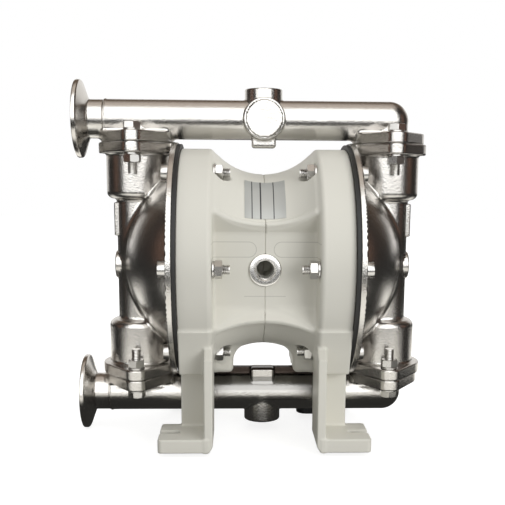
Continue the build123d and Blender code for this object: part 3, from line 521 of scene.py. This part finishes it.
def manifold_field(up):
    def field(x, y, z):
        """Manifold; w is the height towards its own side."""
        w = z * up
        side = np.abs(x) - COLUMN_X
        over = w - PIPE_Z
        pipe = np.hypot(y, over)
        solid = bar(pipe, x, 12.85, -104, COLUMN_X)
        solid = np.minimum(solid, np.sqrt((x - COLUMN_X) ** 2 + y**2 + over**2) - 12.85)
        bead = np.hypot(pipe - 12.6, x + 104) - 0.75
        solid = join(solid, bar(pipe, x, 12.6, -114.7, -100), 0.5)
        solid = join(solid, bead, 0.4)
        riser = bar(np.hypot(side, y), w, 12.7, JOINT_Z, PIPE_Z)
        solid = np.minimum(solid, riser)
        flange = plate(lobed(side, y, 23.5, 8.0, LUG_Y), w, JOINT_Z, JOINT_Z + 7.0, 0.9)
        solid = join(solid, flange, 3.0)
        solid = join(solid, bar(np.hypot(x, y), w, 12.4, PIPE_Z, PIPE_Z + 19.9, 0.9), 0.9)
        solid = join(solid, block(x, y, w, ((-8, 8), (-10, 1), (PIPE_Z - 18.3, PIPE_Z)), 1.9), 0.8)
        if up > 0:
            solid = join(solid, bar(np.hypot(x, over), -y, 13.4, 0, 20.0, 0.9), 0.9)
            solid = np.minimum(solid, bar(np.hypot(x, over), -y, 11.6, 0, 21.0, 0.3))
        else:
            rib = block(x, y, w, ((-50, 50), (-2.5, 2.5), (PIPE_Z - 17.6, PIPE_Z)), 0.7)
            solid = join(solid, rib, 1.2)
        inside = bar(pipe, x, 11.05, -120, COLUMN_X)
        inside = np.minimum(inside, np.sqrt((x - COLUMN_X) ** 2 + y**2 + over**2) - 11.05)
        inside = np.minimum(inside, bar(np.hypot(side, y), w, 11.05, 70, PIPE_Z))
        return np.maximum(solid, -inside)
    return field


def housing_field(exhaust):
    rim_places = [(SCREW_CIRCLE * math.cos(a), SCREW_CIRCLE * math.sin(a)) for a in np.radians(range(0, 360, 60))]

    def field(x, y, z):
        """Right housing half: waisted barrel, clamp flange, front panel, two legs."""
        out, deep = np.hypot(y, z), np.abs(y)
        barrel = np.where(out > 100, out - 57, 43 - np.hypot(x, out - 100))
        upper = half_plane(y, z, (-51, 22), (-62, 35)) * -1
        lower = half_plane(y, z, (-51, -27), (-59, -40.5))
        panel = keep(keep(y + 51, upper, 0.7), lower, 0.7)
        barrel = cut(barrel, panel, 0.7)
        for slope, waist, arc in ((upper, 59.7, 51.7), (lower, 64.0, 71.6)):
            brim = arc - np.hypot(x, out - waist - arc)
            lip = keep(keep(brim, -slope, 0.6), np.maximum(slope - 3.2, y + 40), 1.4)
            barrel = join(barrel, lip, 1.8)
        barrel = keep(barrel, np.maximum(x - 34, out - 70.0), 0.8)
        seat = block(x, y, z, ((-5, FLANGE_IN), (58, 90), (-26.8, 26.8)), 0.0)
        flange = keep(out - 73.5, FLANGE_IN - x, 3.6)
        flange = keep(flange, x - FLANGE_OUT, 0.8)
        solid = join(np.maximum(barrel, -seat), flange, 2.4)
        rise = half_plane(deep, z, (50.5, -45), (68, -56))
        rib = keep(keep(FLANGE_IN - x, -115 - z, 5.0), x - 38.0, 0.9)
        rib = keep(rib, np.maximum(np.maximum(33 - deep, deep - 68), np.maximum(rise, z + 45)), 0.9)
        wall = block(x, deep, z, ((34, FLANGE_OUT - 0.3), (33, 38.6), (-112, -45)), 0.7)
        foot = block(x, deep, z, ((35, 67), (33, 68), (-115, -106.2)), 0.9)
        corner = keep(x - 67, np.abs(deep - 50.5) - 17.5, 3.0)
        foot = np.maximum(foot, corner)
        slot = np.minimum(np.hypot(x - 57, deep - 51) - 3.3, np.maximum(np.abs(deep - 51) - 3.3, 57 - x))
        leg = join(join(rib, wall, 1.5), foot, 1.6)
        leg = cut(leg, np.maximum(slot, z + 100), 0.5)
        knee = keep(half_plane(deep, z, (62, -42), (50.5, -69)), np.maximum(-69 - z, 33 - deep), 1.2)
        knee = keep(keep(knee, FLANGE_IN + 1 - x, 2.0), x - FLANGE_OUT, 0.8)
        solid = join(solid, np.maximum(knee, z + 40), 4.0)
        ear = block(x, y, z, ((20, 36), (-24, 24), (-74.2, -40)), 3.4)
        solid = join(solid, ear, 6.5)
        solid = join(solid, leg, 1.8)
        bowl = np.maximum(half_plane(x, out, (38, 38), (47, 57)), half_plane(x, out, (47, 57), (54.1, 58)))
        bowl = np.maximum(np.maximum(bowl, 38 - x), out - 58)
        solid = np.maximum(solid, -bowl)
        for py, pz in rim_places:
            pocket = np.hypot(y - py, z - pz) - np.clip((x - 20.3) * 0.55 + 3.4, 3.4, 6.9)
            solid = cut(solid, np.maximum(pocket, np.maximum(20.3 - x, x - FLANGE_IN)), 1.0)
        solid = np.maximum(solid, -bar(out, x, 8.3, -5, 45))
        solid = np.maximum(solid, -bar(np.hypot(y, z - 28), x, 3.3, -5, 45))
        mouth = np.hypot(x, z + 2)
        solid = np.maximum(solid, -bar(mouth, y, 9.95, -60, -39))
        solid = np.maximum(solid, -bar(mouth, y, 5.0, -60, -22))
        if exhaust:
            boss = bar(np.hypot(x - 31, y - 25), -z, 9.5, 60, 78.5, 0.6)
            solid = join(solid, boss, 1.2)
            solid = np.maximum(solid, -bar(np.hypot(x - 31, y - 25), -z, 6.5, 66, 90))
        return np.maximum(solid, -x)
    return field


def valve_field(x, y, z):
    """Air valve body on the back: base, block and spool bore."""
    base = block(x, y, z, ((-31, 31), (59, 80), (-26, 26)), 1.6)
    notch = block(np.abs(x), y, z, ((20.8, 40), (50, 74), (-7.5, 7.5)), 0.5)
    base = cut(base, notch, 0.6)
    solid = join(base, block(x, y, z, ((-44, 44), (74, 98), (-19, 19)), 2.2), 2.0)
    seats = np.hypot(np.abs(x) - 26, np.abs(z) - 21)
    solid = cut(solid, bar(seats, y, 4.8, 74, 110), 0.5)
    return np.maximum(solid, -bar(np.hypot(y - 86, z), x, 9.03, -60, 60))


def mirrored(shape):
    points, quads, normals = shape
    flip = np.array((-1, 1, 1))
    return points * flip, quads[:, ::-1], normals * flip


def make_castings():
    chamber = surface(chamber_field, (55.5, -79, -78.5), (110, 79, 78.5), WIDE_CELL)
    dress(mesh_object("chamber_right", *chamber), "cast_stainless", "pump_body", "right_chamber")
    dress(mesh_object("chamber_left", *mirrored(chamber)), "cast_stainless", "pump_body", "left_chamber")
    for up, level in ((1, "top"), (-1, "bottom")):
        z = sorted((up * 72.5, up * 114))
        shape = surface(manifold_field(up), (-116, -37.5, z[0]), (109, 37.5, z[1]), CELL)
        dress(mesh_object("manifold_" + level, *shape), "cast_stainless", "pump_body", level + "_manifold")
    for exhaust, side in ((True, "right"), (False, "left")):
        shape = surface(housing_field(exhaust), (-1.5, -75, -116.5), (68.5, 75, 75), WIDE_CELL)
        shape = shape if exhaust else mirrored(shape)
        dress(mesh_object("housing_" + side, *shape), "cream_plastic", "pump_body", side + "_housing")
    shape = surface(valve_field, (-46, 57, -28), (46, 100, 28), CELL)
    dress(mesh_object("air_valve_casting", *shape), "valve_aluminium", "pump_body", "air_valve_body")


def make_turned():
    """Ferrules and the air inlet ring."""
    groove = [(122.7 - 1.3, 20.6), (122.7 - 1.5, 21.2), (122.7 - 1.5, 22.4), (122.7 - 1.3, 23.0)]
    profile = [(114.7, 11.05), (114.7, 12.7), (115.4, 13.6), (116.1, 15.2), (119.3, 24.0), (119.55, 24.6),
               (119.95, 25.05), (120.4, 25.25), (122.2, 25.25), (122.55, 25.1), (122.7, 24.7), (122.7, 23.3),
               *groove[::-1], (122.7, 20.3), (122.7, 11.6), (122.3, 11.05)]
    for up, level in ((1, "top"), (-1, "bottom")):
        points, faces = turned(profile, 128, loop=True)
        points = points @ np.array(axes_to((-1, 0, 0))).T + (0, 0, up * PIPE_Z)
        piece = mesh_object("ferrule_" + level, points, [f[::-1] for f in faces], sharp=40)
        dress(piece, "ferrule_steel", "pump_body", level + "_ferrule")
    mouth = [(12.6 - 0.05, 6.9), (12.0, 6.6)]
    wall = thread(6.55, -1.0, 11.6, 1.337, 0.85, 72, inward=True)
    rings = [(-1.0, 10), (12.2, 10), (12.45, 9.75), (12.6, 9.3)] + mouth + wall[::-1]
    points, faces = turned(rings, 72, loop=True)
    points = points @ np.array(axes_to((0, -1, 0))).T + (0, -40.0, -2)
    piece = mesh_object("air_inlet_ring", points, faces, sharp=40)
    dress(piece, "inlet_metal", "pump_body", "air_inlet_bushing")


def make_fasteners():
    body = "pump_body"
    angles = np.radians(range(0, 360, 60))
    around = [(SCREW_CIRCLE * math.cos(a), SCREW_CIRCLE * math.sin(a)) for a in angles]
    for side, sx in (("right", 1), ("left", -1)):
        spin = [0.35 * i + sx for i in range(6)]
        heads = [((sx * RIM_OUT, y, z), (sx, 0, 0), s) for (y, z), s in zip(around, spin)]
        tip = turned(thread(3.0, -37.5, -23.0, 1.0, 0.32), 36)
        shape = stack(cap_head(5.0, 6.0, 5.0, 3.0), turned([(-24, 2.9), (0.05, 2.9)], 24), tip)
        dress(repeated("rim_screws_" + side, shape, heads, "screw_steel"), "screw_steel", body,
              side + "_rim_screws", paint=False)
        nuts = [((sx * 31.3, y, z), (-sx, 0, 0), s * 1.7) for (y, z), s in zip(around, spin)]
        dress(repeated("rim_nuts_" + side, hex_solid(10, 5.0, 0.7, 2.95, both=True), nuts, "screw_steel"),
              "screw_steel", body, side + "_rim_nuts", paint=False)
        rings = [((sx * 31.3, y, z), (sx, 0, 0), 0) for y, z in around]
        dress(repeated("rim_washers_" + side, washer(5.5, 3.3, 1.2), rings, "screw_steel"), "screw_steel", body,
              side + "_rim_washers", paint=False)
    for up, level in ((1, "top"), (-1, "bottom")):
        spots = [(sx * COLUMN_X, sy * LUG_Y) for sx in (-1, 1) for sy in (-1, 1)]
        seat = JOINT_Z + 7.0 + 1.2
        tip = turned(thread(3.0, -28.4, -15.0, 1.0, 0.32), 36)
        shape = stack(hex_solid(10, 4.0, 0.6), turned([(-16, 2.9), (0.05, 2.9)], 24), tip)
        bolts = [((x, y, up * seat), (0, 0, up), 0.3 + 0.4 * i) for i, (x, y) in enumerate(spots)]
        dress(repeated("flange_bolts_" + level, shape, bolts, "screw_steel"), "screw_steel", body,
              level + "_flange_bolts", paint=False)
        under = JOINT_Z - 7.0 - 1.2
        nuts = [((x, y, up * under), (0, 0, -up), 0.1 + 0.5 * i) for i, (x, y) in enumerate(spots)]
        dress(repeated("flange_nuts_" + level, hex_solid(10, 5.0, 0.7, 2.95, both=True), nuts, "screw_steel"),
              "screw_steel", body, level + "_flange_nuts", paint=False)
        rings = [((x, y, up * w), (0, 0, up), 0) for x, y in spots for w in (JOINT_Z + 7.0, under)]
        if up < 0:
            rings = [((x, y, -w - 1.2), (0, 0, 1), 0) for x, y in spots for w in (JOINT_Z + 7.0, under)]
        dress(repeated("flange_washers_" + level, washer(5.5, 3.3, 1.2), rings, "screw_steel"), "screw_steel", body,
              level + "_flange_washers", paint=False)


def make_diaphragms():
    """Clamped rubber ring, and eight sectors whose profile curves from it in to the plates on the shaft."""
    outer = [(0, 57.0), (0, 76.5), (2.3, 76.5), (2.3, 57.0)]
    inner = [(0, 5.1), (0, 36.0)] + [(-5.6 * math.sin(math.pi * t), 36 + 21 * t) for t in np.linspace(0.1, 0.9, 9)]
    inner += [(0, 57.0)]
    front = [(h + 2.3, r) for h, r in inner[::-1]]
    profile = inner + front
    sector = math.pi / 4
    steps = 7
    for side, sx in (("right", 1), ("left", -1)):
        points, faces = turned(outer, 144, loop=True)
        turn = np.array(axes_to((sx, 0, 0))).T
        faces = [f[::-1] for f in faces]
        ring = mesh_object("diaphragm_rim_" + side, points @ turn + (sx * FLANGE_OUT, 0, 0), faces, sharp=40)
        dress(ring, "seal_rubber", "pump_body", side + "_diaphragm")
        for k in range(8):
            angle = (k - 0.5 + np.arange(steps) / (steps - 1)) * sector
            rows = [[(r * math.cos(a), r * math.sin(a), h) for h, r in profile] for a in angle]
            points = np.array([p for row in rows for p in row]) @ turn + (sx * FLANGE_OUT, 0, 0)
            n = len(profile)
            faces = [(i * n + j, i * n + (j + 1) % n, (i + 1) * n + (j + 1) % n, (i + 1) * n + j)
                     for i in range(steps - 1) for j in range(n)]
            faces += [tuple(range(n))[::-1], tuple((steps - 1) * n + j for j in range(n))]
            piece = mesh_object("diaphragm_%s_%d" % (side, k), points, faces, sharp=50)
            middle = (np.array([[math.cos(k * sector), math.sin(k * sector), 0]]) @ turn)[0]
            dress(piece, "seal_rubber", None, side + "_diaphragm")
            to_row(middle * 52.6 + (sx * FLANGE_OUT, 0, 0))
            to_row(middle * 36.0 + (sx * FLANGE_OUT, 0, 0))
            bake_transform(piece)


# ---- stage --------------------------------------------------------------------------
def make_camera():
    width, focal, centre_x = 505.0, 810.8, 266.7
    yaw, pitch, roll = 0.0365, 0.1645, 0.0068
    data = bpy.data.cameras.new("camera")
    data.sensor_width = 36.0
    data.lens = 36.0 * focal / width
    data.shift_x = 0.5 - centre_x / width
    data.shift_y = 0.12
    ahead = Vector((math.sin(yaw) * math.cos(pitch), math.cos(yaw) * math.cos(pitch), -math.sin(pitch)))
    right = Vector((math.cos(yaw), -math.sin(yaw), 0))
    top = right.cross(ahead)
    right, top = right * math.cos(roll) + top * math.sin(roll), top * math.cos(roll) - right * math.sin(roll)
    camera = bpy.data.objects.new("camera", data)
    camera.matrix_world = Matrix.Translation((-0.01719, -0.5524, 0.16926)) @ Matrix(
        (right, top, -ahead)).transposed().to_4x4()
    bpy.context.scene.collection.objects.link(camera)
    bpy.context.scene.camera = camera


def lamp(name, place, target, size, power, colour=(1, 1, 1)):
    data = bpy.data.lights.new(name, "AREA")
    data.shape = "RECTANGLE"
    data.size, data.size_y = size
    data.energy = power
    data.color = colour
    light = bpy.data.objects.new(name, data)
    light.location = place
    light.visible_glossy = False
    light.rotation_euler = (Vector(place) - Vector(target)).to_track_quat("Z", "Y").to_euler()
    bpy.context.scene.collection.objects.link(light)


def make_world():
    """Soft grey room: bright in front, warm dark above and dark below, white to the camera."""
    world = bpy.data.worlds.new("studio")
    bpy.context.scene.world = world
    world.use_nodes = True
    tree = world.node_tree
    tree.nodes.clear()
    place = tree.nodes.new("ShaderNodeTexCoord").outputs["Generated"]
    parts = tree.nodes.new("ShaderNodeSeparateXYZ")
    tree.links.new(place, parts.inputs[0])
    x, y, z = (Value(tree, s) for s in parts.outputs)
    ahead = y * -1
    window = (ahead * 1.15 - x.abs()).ramp(-0.06, 0.14) * z.ramp(-0.32, -0.20) * (z * -1).ramp(-0.97, -0.90)
    roof = z.ramp(0.82, 0.98)
    behind = y.ramp(0.1, 0.6) * z.ramp(0.05, 0.5)
    wall = y.ramp(-0.40, -0.28) * (y * -1).ramp(-0.02, 0.12) * z.abs().ramp(0.6, 0.35)
    rear = (y * 1.3 - x.abs()).ramp(-0.05, 0.25) * z.ramp(-0.30, -0.15) * (z * -1).ramp(-0.52, -0.40)
    colour = None
    for mask, tone in ((None, (0.035, 0.030, 0.027)), (wall, (0.19, 0.11, 0.08)), (behind, (0.15, 0.105, 0.075)), (roof, (0.75, 0.66, 0.58)),
                       (rear, (1.0, 0.98, 0.95)), (window, (2.3, 2.3, 2.28))):
        if mask is None:
            colour = tone
            continue
        blend = tree.nodes.new("ShaderNodeMix")
        blend.data_type = "RGBA"
        a, b = ([s for s in blend.inputs if s.name == n and s.type == "RGBA"][0] for n in "AB")
        if isinstance(colour, tuple):
            a.default_value = (*colour, 1)
        else:
            tree.links.new(colour, a)
        b.default_value = (*tone, 1)
        tree.links.new(mask.socket, blend.inputs["Factor"])
        colour = [s for s in blend.outputs if s.type == "RGBA"][0]
    mix = tree.nodes.new("ShaderNodeMixShader")
    seen = tree.nodes.new("ShaderNodeMixShader")
    path = tree.nodes.new("ShaderNodeLightPath")
    plain_light, glossy, camera = (tree.nodes.new("ShaderNodeBackground") for _ in range(3))
    plain_light.inputs["Color"].default_value = (1, 1, 1, 1)
    plain_light.inputs["Strength"].default_value = 0.56
    tree.links.new(colour, glossy.inputs["Color"])
    camera.inputs["Color"].default_value = (1, 1, 1, 1)
    camera.inputs["Strength"].default_value = 1.0
    tree.links.new(path.outputs["Is Glossy Ray"], mix.inputs[0])
    tree.links.new(plain_light.outputs[0], mix.inputs[1])
    tree.links.new(glossy.outputs[0], mix.inputs[2])
    tree.links.new(path.outputs["Is Camera Ray"], seen.inputs[0])
    tree.links.new(mix.outputs[0], seen.inputs[1])
    tree.links.new(camera.outputs[0], seen.inputs[2])
    out = tree.nodes.new("ShaderNodeOutputWorld")
    tree.links.new(seen.outputs[0], out.inputs[0])


def make_floor():
    """Pale floor that is white to the camera and dark in what the metal mirrors."""
    half, level = 3.0, -0.0027
    mesh = bpy.data.meshes.new("floor")
    mesh.from_pydata([(sx * half, sy * half, level) for sx, sy in ((-1, -1), (1, -1), (1, 1), (-1, 1))], [], [(0, 1, 2, 3)])
    floor = bpy.data.objects.new("floor", mesh)
    bpy.context.scene.collection.objects.link(floor)
    material = bpy.data.materials.new("floor_white")
    material.use_nodes = True
    tree = material.node_tree
    tree.nodes.clear()
    soft, glow, dark = (tree.nodes.new(k) for k in (
        "ShaderNodeBsdfDiffuse", "ShaderNodeEmission", "ShaderNodeEmission"))
    soft.inputs["Color"].default_value = (0.45, 0.45, 0.44, 1)
    glow.inputs["Color"].default_value = (1, 1, 1, 1)
    glow.inputs["Strength"].default_value = 0.82
    parts = tree.nodes.new("ShaderNodeSeparateXYZ")
    tree.links.new(tree.nodes.new("ShaderNodeTexCoord").outputs["Object"], parts.inputs[0])
    across, depth = Value(tree, parts.outputs[0]), Value(tree, parts.outputs[1])
    bright = depth.abs().ramp(0.07, 0.13) * (depth.abs() * -1).ramp(-0.38, -0.30) * across.abs().ramp(0.45, 0.25)
    tone = bright * 1.3 + 0.035
    tree.links.new(tone.socket, dark.inputs["Strength"])
    dark.inputs["Color"].default_value = (1.0, 0.98, 0.92, 1)
    path = tree.nodes.new("ShaderNodeLightPath")
    add, first, last = (tree.nodes.new(k) for k in ("ShaderNodeAddShader", "ShaderNodeMixShader", "ShaderNodeMixShader"))
    out = tree.nodes.new("ShaderNodeOutputMaterial")
    tree.links.new(soft.outputs[0], add.inputs[0])
    tree.links.new(glow.outputs[0], add.inputs[1])
    tree.links.new(path.outputs["Is Camera Ray"], first.inputs[0])
    tree.links.new(soft.outputs[0], first.inputs[1])
    tree.links.new(add.outputs[0], first.inputs[2])
    tree.links.new(path.outputs["Is Glossy Ray"], last.inputs[0])
    tree.links.new(first.outputs[0], last.inputs[1])
    tree.links.new(dark.outputs[0], last.inputs[2])
    tree.links.new(last.outputs[0], out.inputs[0])
    mesh.materials.append(material)


def make_lights():
    middle = (0, 0, 0.11)
    lamp("front_softbox", (1.0, -1.35, 0.5), middle, (0.9, 0.9), 12.0)
    lamp("top_softbox", (0.2, -0.2, 1.5), middle, (1.2, 0.9), 4.0, (1.0, 0.98, 0.95))
    lamp("back_softbox", (0.2, 1.4, 0.8), middle, (1.1, 0.7), 5.0)


make_finishes()
SET_IN_PLACE = repeat_group()
slots = {part["node"]: part["material_slot"] for part in frame["record"]["subparts"]}
for node, piece in frame["nodes"].items():
    piece.data.materials.clear()
    piece.data.materials.append(MATERIALS[slots[node]])
    piece.data.shade_smooth()
    piece.data.set_sharp_from_angle(angle=math.radians(32))
make_castings()
make_turned()
make_fasteners()
make_diaphragms()
make_camera()
make_world()
make_floor()
make_lights()
bpy.context.scene.view_settings.view_transform = "Standard"
